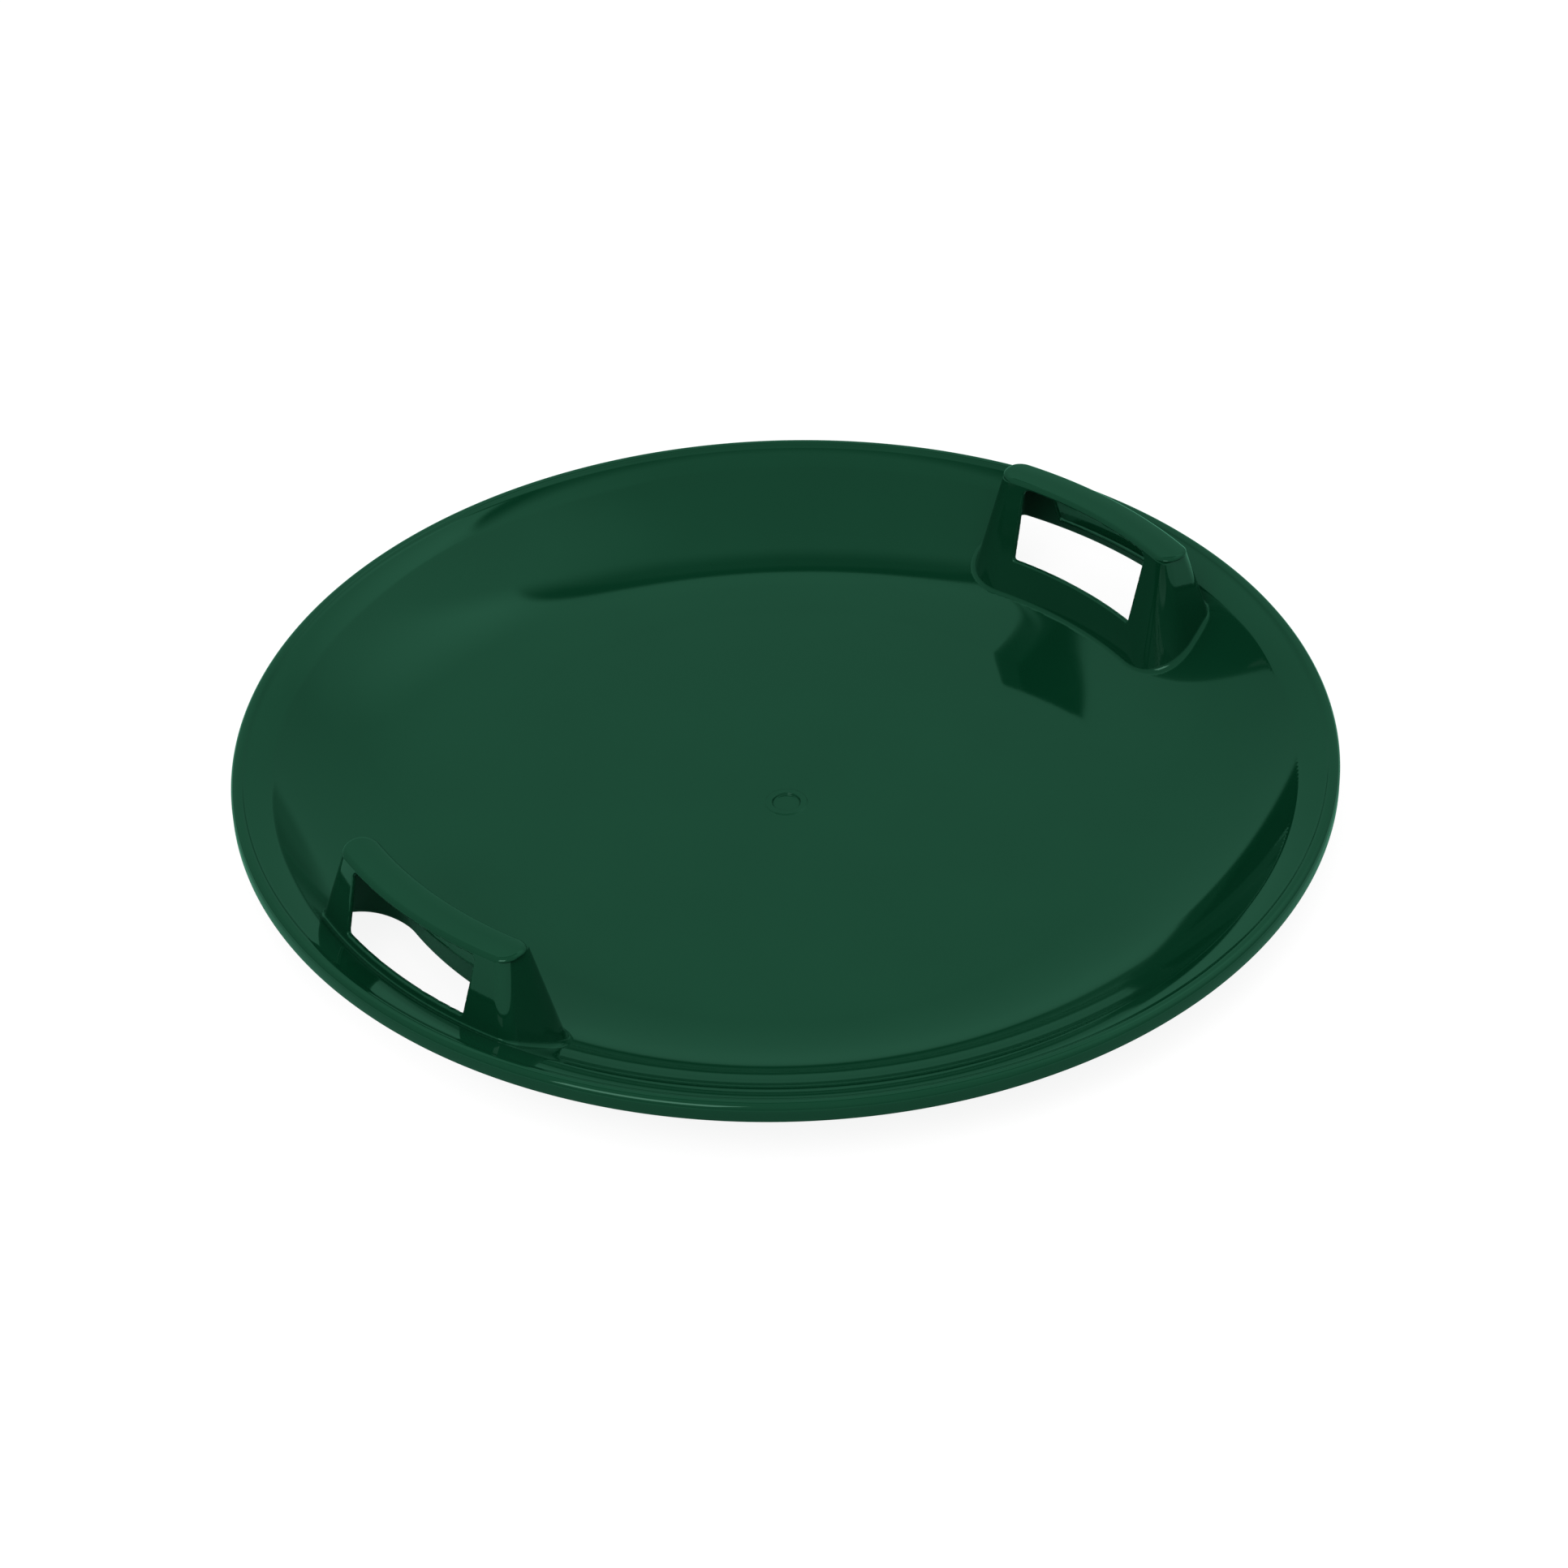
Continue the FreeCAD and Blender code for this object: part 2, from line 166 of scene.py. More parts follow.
def stand_and_fillet(x, y, z):
    """Distance to the stand, and the size of the fillet at its foot there."""
    panel, cheek, outer = stand_faces(x, y, z)
    corner = FOOT_CORNER - (FOOT_CORNER - HEAD_CORNER) * z / HEAD_HEIGHT
    corner = np.clip(corner, HEAD_CORNER, None)
    stand = round_max(panel, cheek, INNER_CORNER_SHARE * corner)
    stand = round_max(stand, outer, OUTER_CORNER_SHARE * OUTER_CORNER)
    fillet = PANEL_FILLET + (CHEEK_FILLET - PANEL_FILLET) * ramp(cheek - panel, *CHEEK_BLEND)
    share = ramp(outer - np.maximum(panel, cheek), *OUTER_BLEND)
    return stand, fillet + (OUTER_FILLET - fillet) * share


def over_moulding(x, y, z):
    """Distance over the upper surface of dish and stand together."""
    stand, fillet = stand_and_fillet(x, y, z)
    return round_min(over_dish(np.hypot(x, y), z), stand, fillet)


def opening_field(y, z, half, splay, bottom, bend):
    """Upright opening that is wider at its top, with rounded upper corners."""
    side = np.abs(y) - half - splay * (z - bottom) / (OPENING_TOP - bottom)
    return round_max(round_max(side, z - OPENING_TOP, bend), bottom - z, SILL_ROUND)


def frame_field(points):
    """Distance field of the shell around one handle, with its window and gate cut out."""
    x, y, z = points
    radius = np.hypot(x, y)
    over = over_moulding(x, y, z)
    shell = np.maximum(over, -over - WALL)
    window = opening_field(y, z, WINDOW_HALF, WINDOW_SPLAY, WINDOW_BOTTOM, WINDOW_ROUND)
    gate = opening_field(y, z, GATE_HALF, GATE_SPLAY, EDGE_HEIGHT, GATE_ROUND)
    shell = round_max(shell, -np.maximum(window, radius - FRAME_MIDDLE), CUT_EDGE)
    return round_max(shell, -np.maximum(gate, FRAME_MIDDLE - radius), CUT_EDGE)


def grip_field(points):
    """Distance field of one strap, whose sides carry on from the stand and whose ends stand out."""
    x, y, z = points
    panel, _, outer = stand_faces(x, y, z)
    below = np.clip((HEAD_HEIGHT + GRIP_TUCK_RISE - z) / GRIP_TUCK_RISE, 0, 2)
    end = np.abs(y) - GRIP_HALF + GRIP_TUCK * below ** 2
    inner_side = round_max(panel, end, GRIP_INNER_SHARE * GRIP_CORNER)
    outer_side = round_max(outer, end, GRIP_OUTER_SHARE * GRIP_CORNER)
    plan = round_max(inner_side, outer_side, GRIP_PLAN_SOFT)
    across = (np.hypot(x, y) - FRAME_MIDDLE) / (HEAD_OUTER - FRAME_MIDDLE)
    return round_max(plan, z - GRIP_TOP + GRIP_CROWN * across ** 2, GRIP_EDGE)


def head_seam(points):
    return points[2] - HEAD_HEIGHT


def grip_seam(points):
    return HEAD_HEIGHT - points[2]


def foot_seam(points):
    """Field over the plan that is zero just outside the fillet at a stand's foot."""
    x, y = points[0], points[1]
    stand, fillet = stand_and_fillet(x, y, dish_height(np.hypot(x, y)))
    return stand - fillet - FOOT_MARGIN


def gradient(field, points):
    """Slope of a field at points, an array of three rows."""
    slopes = np.empty_like(points)
    for axis in range(3):
        shift = np.zeros((3, 1))
        shift[axis] = SLOPE_REACH
        slopes[axis] = (field(points + shift) - field(points - shift)) / (2 * SLOPE_REACH)
    return slopes


def unit(vectors):
    return vectors / np.maximum(np.linalg.norm(vectors, axis=0), TINY)


def onto(field, points, rounds=1, limit=0.6):
    """Move points along the field's slope towards where it is zero, by the limit at most."""
    for _ in range(rounds):
        slopes = gradient(field, points)
        step = slopes * (field(points) / np.maximum((slopes ** 2).sum(0), TINY))
        size = np.maximum(np.sqrt((step ** 2).sum(0)), TINY)
        points = points - step * np.minimum(1, limit / size)
    return points


def onto_both(field, seam, points, rounds=4, limit=1.0):
    """Move points to where both fields are zero, the seam to a closer fit."""
    for _ in range(rounds):
        points = onto(field, onto(seam, points, 1, limit), 1, limit)
    return onto(seam, points, 2)


def surface_net(field, low, high, step):
    """Points (three rows) and triangles on the zero surface of a field inside a box."""
    axes = [np.arange(start, end + step, step) for start, end in zip(low, high)]
    values = field(np.stack(np.meshgrid(*axes, indexing="ij")))
    cells = tuple(size - 1 for size in values.shape)
    total = np.zeros((3, math.prod(cells)))
    count = np.zeros(math.prod(cells))
    quads = []
    for axis in range(3):
        ahead = np.moveaxis(values, axis, 0)
        start, end = ahead[:-1], ahead[1:]
        edge = np.nonzero((start < 0) != (end < 0))
        share = start[edge] / (start[edge] - end[edge])
        spots = [None] * 3
        others = [number for number in range(3) if number != axis]
        spots[axis] = edge[0]
        spots[others[0]], spots[others[1]] = edge[1], edge[2]
        place = np.array([axes[number][spots[number]] for number in range(3)])
        place[axis] += share * step
        corners = []
        good = np.ones(len(share), bool)
        for first, second in ((-1, -1), (0, -1), (0, 0), (-1, 0)):
            cell = list(spots)
            cell[others[0]] = spots[others[0]] + first
            cell[others[1]] = spots[others[1]] + second
            inside = np.all([(0 <= cell[n]) & (cell[n] < cells[n]) for n in range(3)], axis=0)
            held = [np.clip(cell[n], 0, cells[n] - 1) for n in range(3)]
            index = np.ravel_multi_index(held, cells)
            for number in range(3):
                weights = place[number][inside]
                total[number] += np.bincount(index[inside], weights, minlength=len(count))
            count += np.bincount(index[inside], minlength=len(count))
            corners.append(index)
            good &= inside
        square = np.stack(corners, 1)[good]
        flip = (start[edge] < 0)[good] ^ (axis == 1)
        square[~flip] = square[~flip][:, ::-1]
        quads.append(square)
    used, quads = np.unique(np.concatenate(quads), return_inverse=True)
    points = total[:, used] / count[used]
    quads = quads.reshape(-1, 4)
    faces = np.concatenate([quads[:, [0, 1, 2]], quads[:, [0, 2, 3]]])
    return onto(field, points, 4, step / 2), faces


def clipped(points, faces, seam, field, snap):
    """Keep the triangles where seam is negative, with the new border on both fields' zero."""
    values = seam(points)
    near = np.abs(values) < snap
    points = points.copy()
    points[:, near] = onto_both(field, seam, points[:, near])
    values[near] = 0.0
    inside = values <= 0
    fresh, made = {}, []

    def crossing(inner, outer):
        key = (inner, outer)
        if key not in fresh:
            share = values[inner] / (values[inner] - values[outer])
            fresh[key] = points.shape[1] + len(made)
            made.append(points[:, inner] + (points[:, outer] - points[:, inner]) * share)
        return fresh[key]

    score = inside[faces].sum(1)
    flat = (values[faces] == 0).all(1)
    kept = [tuple(face) for face in faces[(score == 3) & ~flat]]
    for face in faces[(score > 0) & (score < 3)]:
        if (values[face] >= 0).all():
            continue
        ring = []
        for start, end in zip(face, np.roll(face, -1)):
            if inside[start]:
                ring.append(start)
            if inside[start] != inside[end] and values[start] != 0 and values[end] != 0:
                ring.append(crossing(start, end) if inside[start] else crossing(end, start))
        for number in range(1, len(ring) - 1):
            kept.append((ring[0], ring[number], ring[number + 1]))
    if made:
        border = onto_both(field, seam, np.array(made).T)
        points = np.concatenate([points, border], axis=1)
    used, faces = np.unique(np.array(kept), return_inverse=True)
    return points[:, used], faces.reshape(-1, 3)


def border_loops(faces):
    """Closed loops of edges that only one triangle uses, each in the triangles' order."""
    pairs = set()
    for face in faces:
        for start, end in zip(face, (face[1], face[2], face[0])):
            pairs.add((int(start), int(end)))
    ahead = {start: end for start, end in pairs if (end, start) not in pairs}
    loops = []
    while ahead:
        start, here = ahead.popitem()
        loop = [start]
        while here != start:
            loop.append(here)
            here = ahead.pop(here)
        loops.append(loop)
    return loops


def zipped(points, first, second):
    """Band of triangles between two closed loops of point numbers that run the same way round."""
    away = np.linalg.norm(points[:, second] - points[:, [first[0]]], axis=0)
    turn = int(away.argmin())
    second = second[turn:] + second[:turn]
    first, second = first + first[:1], second + second[:1]
    here = there = 0
    band = []
    while here < len(first) - 1 or there < len(second) - 1:
        go_first = go_second = math.inf
        if here < len(first) - 1:
            go_first = np.linalg.norm(points[:, first[here + 1]] - points[:, second[there]])
        if there < len(second) - 1:
            go_second = np.linalg.norm(points[:, first[here]] - points[:, second[there + 1]])
        if go_first <= go_second:
            band.append((first[here], first[here + 1], second[there]))
            here += 1
        else:
            band.append((first[here], second[there + 1], second[there]))
            there += 1
    return band


def make_piece(name, points, faces, normals, walls):
    """Mesh object in metres. Faces take the given point normals, walls their own flat ones."""
    mesh = bpy.data.meshes.new(name)
    smooth = len(faces)
    faces = [tuple(int(n) for n in face) for face in (*faces, *walls)]
    mesh.from_pydata((points.T * MM).tolist(), [], faces)
    mesh.polygons.foreach_set("use_smooth", [True] * smooth + [False] * len(walls))
    corners = np.empty(len(mesh.loops), np.int32)
    mesh.loops.foreach_get("vertex_index", corners)
    split = normals.T[corners]
    mesh.update()
    for polygon in mesh.polygons:
        if polygon.index >= smooth:
            split[list(polygon.loop_indices)] = polygon.normal
    mesh.normals_split_custom_set(split.tolist())
    piece = bpy.data.objects.new(name, mesh)
    bpy.context.scene.collection.objects.link(piece)
    return piece


def half_turned(points):
    return points * np.array([[-1.0], [-1.0], [1.0]])


pieces = {}


def make_pair(node, name, points, faces, normals, walls):
    """One piece on the +X side, and the same one turned for the other side."""
    pieces[node + "_right"] = make_piece(name + "_right", points, faces, normals, walls)
    points, normals = half_turned(points), half_turned(normals)
    pieces[node + "_left"] = make_piece(name + "_left", points, faces, normals, walls)


# Handle frames: box to mesh in, mesh step, and how near to a seam points are pulled onto it
FRAME_BOX = ((212, -98, 2.4), (296, 98, 82.0))
FRAME_STEP = 1.0
FRAME_SNAP = 0.35
frame_points, frame_faces = surface_net(frame_field, *FRAME_BOX, FRAME_STEP)
for seam in (foot_seam, head_seam):
    frame_points, frame_faces = clipped(frame_points, frame_faces, seam, frame_field, FRAME_SNAP)
frame_normals = unit(gradient(frame_field, frame_points))
seam_loops = border_loops(frame_faces)
seam_loops.sort(key=lambda loop: -frame_points[2, loop].mean())
head_loops, (upper_loop, lower_loop) = seam_loops[:2], seam_loops[2:]
head_loops.sort(key=lambda loop: -frame_points[1, loop].max())
frame_walls = zipped(frame_points, upper_loop[::-1], lower_loop)
frame_walls += zipped(frame_points, head_loops[0][::-1], head_loops[1])
make_pair(
    "handle_frame", "moulded_handle", frame_points, frame_faces, frame_normals, frame_walls
)

# Grips, in the same way, each closed below by one flat face
GRIP_BOX = ((243, -74, 78.2), (284, 74, 84.6))
GRIP_STEP = 0.8
GRIP_SNAP = 0.3
grip_points, grip_faces = surface_net(grip_field, *GRIP_BOX, GRIP_STEP)
grip_points, grip_faces = clipped(grip_points, grip_faces, grip_seam, grip_field, GRIP_SNAP)
grip_normals = unit(gradient(grip_field, grip_points))
grip_loop = border_loops(grip_faces)[0][::-1]
grip_base = geometry.tessellate_polygon([[Vector(grip_points[:, spot]) for spot in grip_loop]])
grip_base = [tuple(grip_loop[spot] for spot in face) for face in grip_base]
make_pair("grip", "grip_strap", grip_points, grip_faces, grip_normals, grip_base)

# Dish, as two skins over one plan with the stands' feet left out. Rings of plan points are given
# as their radii and the number of points on each.
TURN_STEPS = 480
TURN_ANGLES = np.arange(TURN_STEPS) * 2 * math.pi / TURN_STEPS
TURN = np.array([np.cos(TURN_ANGLES), np.sin(TURN_ANGLES)])
MARK_RINGS = (
    7.3, 7.6, 7.8, 8.0, 8.2, 8.4, 8.8, 10, 11.4, 11.8, 12.0, 12.2, 12.4, 12.6, 13.2, 16, 22, 32
)
DISH_RINGS = (
    ((3.0, 6.0), 24),
    (MARK_RINGS, 72),
    (np.arange(45.0, 180.0, 15.0), 120),
    (np.arange(FLOOR_RADIUS - 3, BOWL_RADIUS - 4, 4.0), 240),
    (BOWL_RADIUS - np.array([2.4, 1.2, 0.5]), 480),
)
STAND_START = 190
STAND_CLEAR = 1.4
MARK_STEP_HALF = 0.5
MERGE_REACH = 1e-5
TRIANGLES_INSIDE = 1
HEIGHT_ROUNDS = 8
HEIGHT_REACH = 0.01


def straightened(loop):
    """Plan loop without the points where it doubles back on itself."""
    while True:
        before = loop - np.roll(loop, 1, axis=1)
        after = np.roll(loop, -1, axis=1) - loop
        onward = (before * after).sum(0) >= 0
        if onward.all():
            return loop
        loop = loop[:, onward]


def dish_borders(loop):
    """Plan loops of the dish: its round edge, then the stands' two holes, the other way round."""
    hole = straightened(frame_points[:2, loop])
    ahead = np.roll(hole, -1, axis=1)
    if (hole[0] * ahead[1] - hole[1] * ahead[0]).sum() > 0:
        hole = hole[:, ::-1]
    return BOWL_RADIUS * TURN, hole, -hole


def dish_inside():
    """Plan points spread over the dish in rings, each ring half a step on from the one before."""
    rings = [(radius, count) for radii, count in DISH_RINGS for radius in radii]
    plan = [np.zeros((2, 1))]
    for number, (radius, count) in enumerate(rings):
        angle = (np.arange(count) + 0.5 * (number % 2)) * 2 * math.pi / count
        plan.append(radius * np.array([np.cos(angle), np.sin(angle)]))
    plan = np.concatenate(plan, axis=1)
    clear = foot_seam(np.array([np.abs(plan[0]), plan[1]]))
    return plan[:, (np.abs(plan[0]) < STAND_START) | (clear > STAND_CLEAR)]


def inside_loop(spots, loop):
    """Which plan points lie inside a closed loop."""
    crossings = np.zeros(spots.shape[1], int)
    for (x0, y0), (x1, y1) in zip(loop.T, np.roll(loop, -1, axis=1).T):
        level = (y0 > spots[1]) != (y1 > spots[1])
        if y0 != y1:
            crossings += level & (spots[0] < x0 + (x1 - x0) * (spots[1] - y0) / (y1 - y0))
    return crossings % 2 == 1


def mark_rise(radius):
    """Mould mark in the middle of the floor: a recess with a raised ring around it."""

    def step(middle):
        return ramp(radius, middle - MARK_STEP_HALF, middle + MARK_STEP_HALF)

    rise = (MARK_DEPTH + MARK_RING_RISE) * step(MARK_RADIUS) - MARK_DEPTH
    return rise - MARK_RING_RISE * step(MARK_RADIUS + MARK_RING_WIDTH)


def dish_skin(loop, depth):
    """Points, triangles, normals and borders of one skin of the dish."""
    borders = dish_borders(loop)
    edges, loops, count = [], [], 0
    for border in borders:
        numbers = list(range(count, count + border.shape[1]))
        edges += zip(numbers, numbers[1:] + numbers[:1])
        loops.append(numbers)
        count += len(numbers)
    plan = np.concatenate([*borders, dish_inside()], axis=1)
    spots = [Vector(spot) for spot in plan.T]
    found = geometry.delaunay_2d_cdt(spots, edges, [], TRIANGLES_INSIDE, MERGE_REACH)
    plan = np.array([tuple(spot) for spot in found[0]]).T
    faces = np.array(found[2])
    middles = plan[:, faces].mean(2)
    faces = faces[~(inside_loop(middles, borders[1]) | inside_loop(middles, borders[2]))]
    radius = np.hypot(*plan)
    height = dish_height(radius, depth)
    for _ in range(HEIGHT_ROUNDS):
        above = over_dish(radius, height + HEIGHT_REACH)
        slope = (above - over_dish(radius, height - HEIGHT_REACH)) / (2 * HEIGHT_REACH)
        height = height - (over_dish(radius, height) + depth) / slope
    points = np.concatenate([plan, height[None]])
    normals = unit(gradient(dish_field, points))
    if depth > 0:
        return points, faces[:, ::-1], -normals, loops
    points[2] += mark_rise(radius)
    lean = mark_rise(radius + SLOPE_REACH) - mark_rise(radius - SLOPE_REACH)
    normals[:2] -= lean / (2 * SLOPE_REACH) * plan / np.maximum(radius, TINY)
    return points, faces, unit(normals), loops


upper_skin = dish_skin(upper_loop, 0.0)
lower_skin = dish_skin(lower_loop, WALL)
first = upper_skin[0].shape[1]
dish_points = np.concatenate([upper_skin[0], lower_skin[0]], axis=1)
dish_walls = []
for upper_border, lower_border in zip(upper_skin[3], lower_skin[3]):
    lower_border = [first + number for number in lower_border]
    dish_walls += zipped(dish_points, upper_border[::-1], lower_border[::-1])
pieces["dish"] = make_piece(
    "moulded_dish",
    dish_points,
    np.concatenate([upper_skin[1], lower_skin[1] + first]),
    np.concatenate([upper_skin[2], lower_skin[2]], axis=1),
    dish_walls,
)

# Rim: a convex band, a rolled bead and a lip that hangs down outside. Turns are in degrees.
BEAD_SIZE = 4.2
BEAD_MIDDLE = (RIM_RADIUS - BEAD_SIZE, CREST - BEAD_SIZE)
VALLEY_TURN = 137.0
BEAD_TURN = 131.0
BAND_BOW = 0.35
BAND_SHORT = (0.35, 0.2)
VALLEY_LIFT = 0.02
LIP_SOFT = 1.1
LIP_STRAIGHT = 4
INSIDE_ROUND = 1.2
INSIDE_SHIFT = 0.6
HEEL = (1.7, 2.45)
EDGE_STEP = (0.8, 0.62)
EDGE_NEAR = 0.001


def bow(start, end, rise, count):
    """Points on a shallow arc between two points, without its last one."""
    start, end = np.array(start), np.array(end)
    along = end - start
    across = np.array([-along[1], along[0]]) / np.hypot(*along)
    shares = np.arange(count) / count
    return [tuple(start + along * s + across * rise * 4 * s * (1 - s)) for s in shares]


def turn(middle, size, start, end, count):
    """Points on an arc between two angles in degrees."""
    angles = np.radians(np.linspace(start, end, count))
    return [(middle[0] + size * math.cos(a), middle[1] + size * math.sin(a)) for a in angles]


def rim_profile(upper_edge, lower_edge):
    """Closed outline of the rim as rows of radius and height, from the dish's upper edge round."""
    lip_bottom = CREST - LIP_DROP
    lip_inner = RIM_RADIUS - WALL
    valley = turn(BEAD_MIDDLE, BEAD_SIZE, VALLEY_TURN, 0, 2)[0]
    band_end = (valley[0] - BAND_SHORT[0], valley[1] - BAND_SHORT[1])
    line = bow((BOWL_RADIUS, upper_edge), band_end, BAND_BOW, 9)
    line += [band_end, (valley[0], valley[1] + VALLEY_LIFT)]
    line += turn(BEAD_MIDDLE, BEAD_SIZE, BEAD_TURN, 0, 14)
    line += [(RIM_RADIUS, lip_bottom + LIP_STRAIGHT)]
    line += turn((RIM_RADIUS - LIP_SOFT, lip_bottom + LIP_SOFT), LIP_SOFT, 0, -90, 5)
    line += turn((lip_inner + LIP_SOFT, lip_bottom + LIP_SOFT), LIP_SOFT, -90, -180, 5)
    inside = (lip_inner - INSIDE_ROUND, CREST - WALL - INSIDE_ROUND)
    line += turn(inside, INSIDE_ROUND, 0, 90, 5)
    line += [(valley[0] + INSIDE_SHIFT, CREST - WALL), (valley[0], valley[1] - WALL)]
    line += [(BOWL_RADIUS + HEEL[0], EDGE_HEIGHT - HEEL[1])]
    line += [(BOWL_RADIUS + EDGE_STEP[0], lower_edge + EDGE_STEP[1])]
    line += [(BOWL_RADIUS, lower_edge)]
    return np.array(line).T


def edge_level(skin):
    """Height of a dish skin at the bowl's edge."""
    radius = np.hypot(skin[0][0], skin[0][1])
    return float(skin[0][2][radius > BOWL_RADIUS - EDGE_NEAR].mean())


def spun(outline):
    """Rows of x, y and z for an outline's radius and height at every step of a full turn."""
    plan = (outline[0][None, :, None] * TURN[:, None, :]).reshape(2, -1)
    return np.concatenate([plan, np.repeat(outline[1], TURN_STEPS)[None]])


def ring_quads(low, high):
    """Quads between two rings of the rim, facing out."""
    here = np.arange(TURN_STEPS)
    ahead = (here + 1) % TURN_STEPS
    low, high = low * TURN_STEPS, high * TURN_STEPS
    return np.stack([low + here, high + here, high + ahead, low + ahead], 1)


upper_edge = edge_level(upper_skin)
profile = rim_profile(upper_edge, edge_level(lower_skin))
along = np.diff(profile, axis=1)
side = np.array([-along[1], along[0]]) / np.maximum((along ** 2).sum(0), TINY)
lean = np.zeros_like(profile)
lean[:, :-1] += side
lean[:, 1:] += side
edge_lean = gradient(dish_field, np.array([[BOWL_RADIUS], [0], [upper_edge]]))
rim_normals = unit(spun(lean))
rim_normals[:2, :TURN_STEPS] = edge_lean[0] * TURN
rim_normals[2, :TURN_STEPS] = edge_lean[2]
last = profile.shape[1] - 1
rim_faces = np.concatenate([ring_quads(n, n + 1) for n in range(last)])
pieces["rim"] = make_piece(
    "rolled_rim", spun(profile), rim_faces, unit(rim_normals), ring_quads(last, 0)
)


# Plastic
def add(tree, kind, **settings):
    node = tree.nodes.new(kind)
    for name, setting in settings.items():
        setattr(node, name, setting)
    return node


def green_plastic():
    """Smooth moulded plastic: a soft gloss, faint mottling and a very fine grain."""
    material = bpy.data.materials.new("green_plastic")
    material.use_nodes = True
    tree = material.node_tree
    shader = tree.nodes["Principled BSDF"]
    place = add(tree, "ShaderNodeTexCoord")
    mottle = add(tree, "ShaderNodeTexNoise")
    mottle.inputs["Scale"].default_value = 14.0
    mottle.inputs["Detail"].default_value = 4.0
    tint = add(tree, "ShaderNodeValToRGB")
    tint.color_ramp.elements[0].position = 0.3
    tint.color_ramp.elements[0].color = (0.0014, 0.0295, 0.0120, 1)
    tint.color_ramp.elements[1].position = 0.7
    tint.color_ramp.elements[1].color = (0.0017, 0.0325, 0.0134, 1)
    polish = add(tree, "ShaderNodeMapRange")
    polish.inputs["To Min"].default_value = 0.035
    polish.inputs["To Max"].default_value = 0.065
    grain = add(tree, "ShaderNodeTexNoise")
    grain.inputs["Scale"].default_value = 1500.0
    grain.inputs["Detail"].default_value = 2.0
    bump = add(tree, "ShaderNodeBump")
    bump.inputs["Strength"].default_value = 0.02
    bump.inputs["Distance"].default_value = 0.0002
    link = tree.links.new
    link(place.outputs["Object"], mottle.inputs["Vector"])
    link(place.outputs["Object"], grain.inputs["Vector"])
    link(mottle.outputs["Fac"], tint.inputs["Fac"])
    link(mottle.outputs["Fac"], polish.inputs["Value"])
    link(tint.outputs["Color"], shader.inputs["Base Color"])
    link(polish.outputs["Result"], shader.inputs["Roughness"])
    link(grain.outputs["Fac"], bump.inputs["Height"])
    link(bump.outputs["Normal"], shader.inputs["Normal"])
    shader.inputs["IOR"].default_value = 1.5
    return material


plastic = green_plastic()
for node, piece in pieces.items():
    piece.data.materials.append(plastic)
    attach(piece, "root")
    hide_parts(node)

# Floor and surroundings, in metres. The plastic's mirror rays see both tinted green.
WHITE = (1, 1, 1, 1)
MIRRORED_TINT = (0.29, 1.0, 0.65, 1)
MIX_SHARE, MIX_FIRST, MIX_SECOND, MIX_RESULT = 0, 6, 7, 2
FLOOR_HALF = 12.0
FLOOR_DROP = 0.0004
FLOOR_EMISSION = 0.88
FLOOR_SEEN = 0.22
FLOOR_BOUNCED = 0.45
# Distances over which the floor's glow in mirror rays fades in, a painted shadow round the sled
SHADOW_REACH = (0.3, 0.6)
OPEN_FLOOR_SHARE = 0.3


def tinted(tree, colour):
    """Colour or colour socket as it is, but tinted where mirror rays see it."""
    path = add(tree, "ShaderNodeLightPath")
    blend = add(tree, "ShaderNodeMix", data_type="RGBA", blend_type="MULTIPLY")
    blend.inputs[MIX_SECOND].default_value = MIRRORED_TINT
    tree.links.new(path.outputs["Is Glossy Ray"], blend.inputs[MIX_SHARE])
    if isinstance(colour, tuple):
        blend.inputs[MIX_FIRST].default_value = colour
    else:
        tree.links.new(colour, blend.inputs[MIX_FIRST])
    return blend.outputs[MIX_RESULT]


def combined(tree, operation, first, second):
    """Result of a math operation on two sockets, or on a socket and a number."""
    node = add(tree, "ShaderNodeMath", operation=operation)
    tree.links.new(first, node.inputs[0])
    if isinstance(second, float):
        node.inputs[1].default_value = second
    else:
        tree.links.new(second, node.inputs[1])
    return node.outputs[0]


def camera_white(tree):
    """Emission that camera and glass rays see, and mirror rays too, but fading out towards the
    sled: a painted shadow under it in reflections.
    """
    path = add(tree, "ShaderNodeLightPath")
    place = add(tree, "ShaderNodeTexCoord")
    reach = add(tree, "ShaderNodeVectorMath", operation="LENGTH")
    # Mirror rays see the floor's glow fade to nothing near the sled: painted shadow
    painted_shadow_fade = add(tree, "ShaderNodeMapRange")
    painted_shadow_fade.inputs["From Min"].default_value = SHADOW_REACH[0]
    painted_shadow_fade.inputs["From Max"].default_value = SHADOW_REACH[1]
    painted_shadow_fade.inputs["To Max"].default_value = OPEN_FLOOR_SHARE
    tree.links.new(place.outputs["Object"], reach.inputs[0])
    tree.links.new(reach.outputs["Value"], painted_shadow_fade.inputs["Value"])
    rays = path.outputs
    share = combined(tree, "MULTIPLY", rays["Is Glossy Ray"], painted_shadow_fade.outputs["Result"])
    share = combined(tree, "MAXIMUM", rays["Is Camera Ray"], share)
    share = combined(tree, "MAXIMUM", share, rays["Is Transmission Ray"])
    return combined(tree, "MULTIPLY", share, FLOOR_EMISSION)


def floor_colour(tree):
    """Floor colour: a faint shadow for the camera, a pale floor for the light it throws back."""
    path = add(tree, "ShaderNodeLightPath")
    colour = add(tree, "ShaderNodeMapRange")
    colour.inputs["To Min"].default_value = FLOOR_BOUNCED
    colour.inputs["To Max"].default_value = FLOOR_SEEN
    tree.links.new(path.outputs["Is Camera Ray"], colour.inputs["Value"])
    return colour.outputs["Result"]


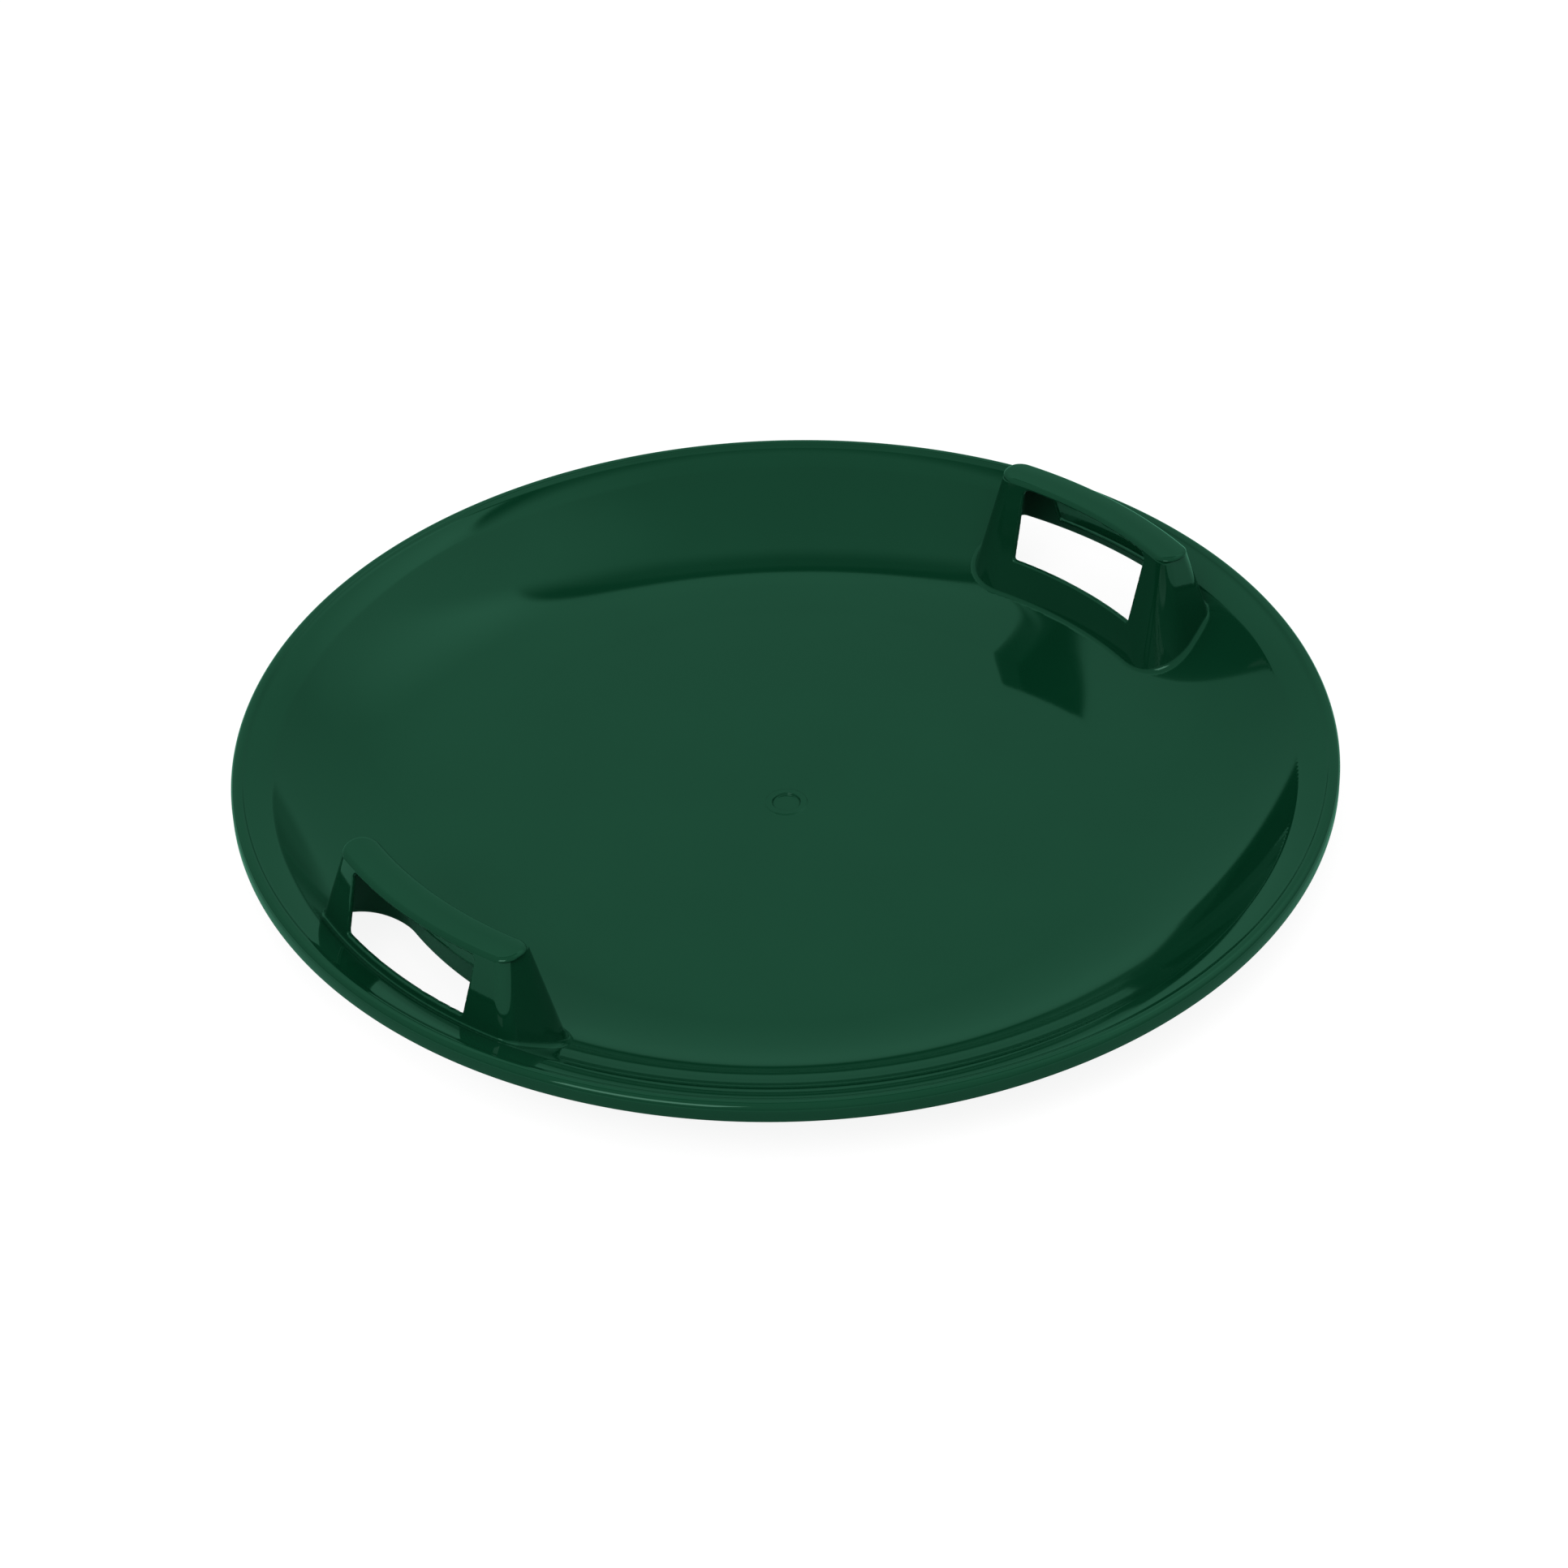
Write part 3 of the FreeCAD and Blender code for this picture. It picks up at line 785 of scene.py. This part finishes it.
floor_mesh = bpy.data.meshes.new("floor")
floor_corners = [(-1, -1), (1, -1), (1, 1), (-1, 1)]
floor_mesh.from_pydata(
    [(FLOOR_HALF * x, FLOOR_HALF * y, 0) for x, y in floor_corners], [], [(0, 1, 2, 3)]
)
floor = bpy.data.objects.new("floor", floor_mesh)
floor.location.z = -FLOOR_DROP
bpy.context.scene.collection.objects.link(floor)
floor_material = bpy.data.materials.new("pale_floor")
floor_material.use_nodes = True
floor_tree = floor_material.node_tree
floor_shader = floor_tree.nodes["Principled BSDF"]
floor_shader.inputs["Roughness"].default_value = 0.9
floor_shader.inputs["Specular IOR Level"].default_value = 0.0
for name, socket in (
    ("Base Color", tinted(floor_tree, floor_colour(floor_tree))),
    ("Emission Color", tinted(floor_tree, WHITE)),
    ("Emission Strength", camera_white(floor_tree)),
):
    floor_tree.links.new(socket, floor_shader.inputs[name])
floor_mesh.materials.append(floor_material)

# Sky: heights (0 at the horizon, 1 overhead) with their brightness, and directions
HORIZON = [(0.0, 0.22), (0.06, 0.28), (0.12, 0.42), (0.2, 0.48)]
SKY_AROUND = HORIZON + [(0.6, 0.6), (1.0, 0.6)]
SKY_BEHIND = HORIZON + [
    (0.6, 0.58), (0.8, 0.78), (0.86, 0.88), (0.884, 0.86),
    (0.889, 0.06), (0.908, 0.08), (0.914, 0.2), (1.0, 0.25),
]
AWAY_FROM_CAMERA = (0.669, 0.743, 0)
BRIGHT_SIDE = (0.579, -0.335, 0.743)
DARK_SPOT = (0.938, 0.341, 0.052)

world = bpy.data.worlds.new("studio")
bpy.context.scene.world = world
world.use_nodes = True
sky = world.node_tree
background = sky.nodes["Background"]
direction = add(sky, "ShaderNodeTexCoord")
parts = add(sky, "ShaderNodeSeparateXYZ")
sky.links.new(direction.outputs["Generated"], parts.inputs[0])


def sky_ramp(levels):
    """Brightness of the surroundings by height."""
    shade = add(sky, "ShaderNodeValToRGB")
    stops = shade.color_ramp.elements
    while len(stops) < len(levels):
        stops.new(0.5)
    for stop, (place, level) in zip(stops, levels):
        stop.position = place
        stop.color = (level, level, level, 1)
    sky.links.new(parts.outputs["Z"], shade.inputs["Fac"])
    return shade.outputs["Color"]


def towards(aim, start, end, low, high):
    """Number from low to high as the cosine of the angle to the aim goes from start to end."""
    cosine = add(sky, "ShaderNodeVectorMath", operation="DOT_PRODUCT")
    cosine.inputs[1].default_value = aim
    share = add(sky, "ShaderNodeMapRange", interpolation_type="SMOOTHSTEP")
    limits = {"From Min": start, "From Max": end, "To Min": low, "To Max": high}
    for name, number in limits.items():
        share.inputs[name].default_value = number
    sky.links.new(direction.outputs["Generated"], cosine.inputs[0])
    sky.links.new(cosine.outputs["Value"], share.inputs["Value"])
    return share.outputs["Result"]


both = add(sky, "ShaderNodeMix", data_type="RGBA")
sky.links.new(towards(AWAY_FROM_CAMERA, 0.22, 0.36, 0, 1), both.inputs[MIX_SHARE])
sky.links.new(sky_ramp(SKY_AROUND), both.inputs[MIX_FIRST])
sky.links.new(sky_ramp(SKY_BEHIND), both.inputs[MIX_SECOND])
sky.links.new(tinted(sky, both.outputs[MIX_RESULT]), background.inputs["Color"])
brighter = towards(BRIGHT_SIDE, 0.82, 0.97, 1, 1.45)
darker = towards(DARK_SPOT, 0.985, 0.9945, 1, 0.58)
strength = combined(sky, "MULTIPLY", brighter, darker)
sky.links.new(strength, background.inputs["Strength"])


# Lamps. The glint is what mirror rays see of the key lamp, just in front of it.
def softbox(name, place, width, height, power):
    """Area lamp that points at the middle of the sled."""
    lamp = bpy.data.lights.new(name, "AREA")
    lamp.shape = "RECTANGLE"
    lamp.size, lamp.size_y = width, height
    lamp.energy = power
    holder = bpy.data.objects.new(name, lamp)
    holder.location = place
    holder.rotation_mode = "QUATERNION"
    holder.rotation_quaternion = (-Vector(place)).to_track_quat("-Z", "Y")
    bpy.context.scene.collection.objects.link(holder)
    return holder


key = softbox("key", (-2.42, -0.74, 2.28), width=1.6, height=1.2, power=20)
key.visible_glossy = False
glint = softbox("glint", (-2.39, -0.73, 2.25), width=1.6, height=1.2, power=17)
glint.visible_diffuse = False
glint.data.color = (0.45, 1.0, 0.74)
top = softbox("top", (-1.2, -1.3, 2.6), width=2.0, height=2.0, power=34)
top.visible_glossy = False

# Camera at the photograph's viewing angle
LOOK_AT = Vector((0, 0, 0.003))
CAMERA_ROLL = math.radians(-1.87)
CAMERA_SWING = math.radians(0.032)
CAMERA_TILT = math.radians(0.247)
camera_data = bpy.data.cameras.new("camera")
camera_data.lens = 96.0
camera_data.sensor_width = 36.0
camera = bpy.data.objects.new("camera", camera_data)
camera.location = (-1.3006, -1.4185, 1.4899)
camera.rotation_mode = "QUATERNION"
look = (LOOK_AT - camera.location).to_track_quat("-Z", "Y")
roll = Quaternion((0, 0, 1), CAMERA_ROLL)
swing = Quaternion((0, 1, 0), CAMERA_SWING)
tilt = Quaternion((1, 0, 0), CAMERA_TILT)
camera.rotation_quaternion = look @ roll @ swing @ tilt
bpy.context.scene.collection.objects.link(camera)
bpy.context.scene.camera = camera
bpy.context.scene.view_settings.view_transform = "Standard"
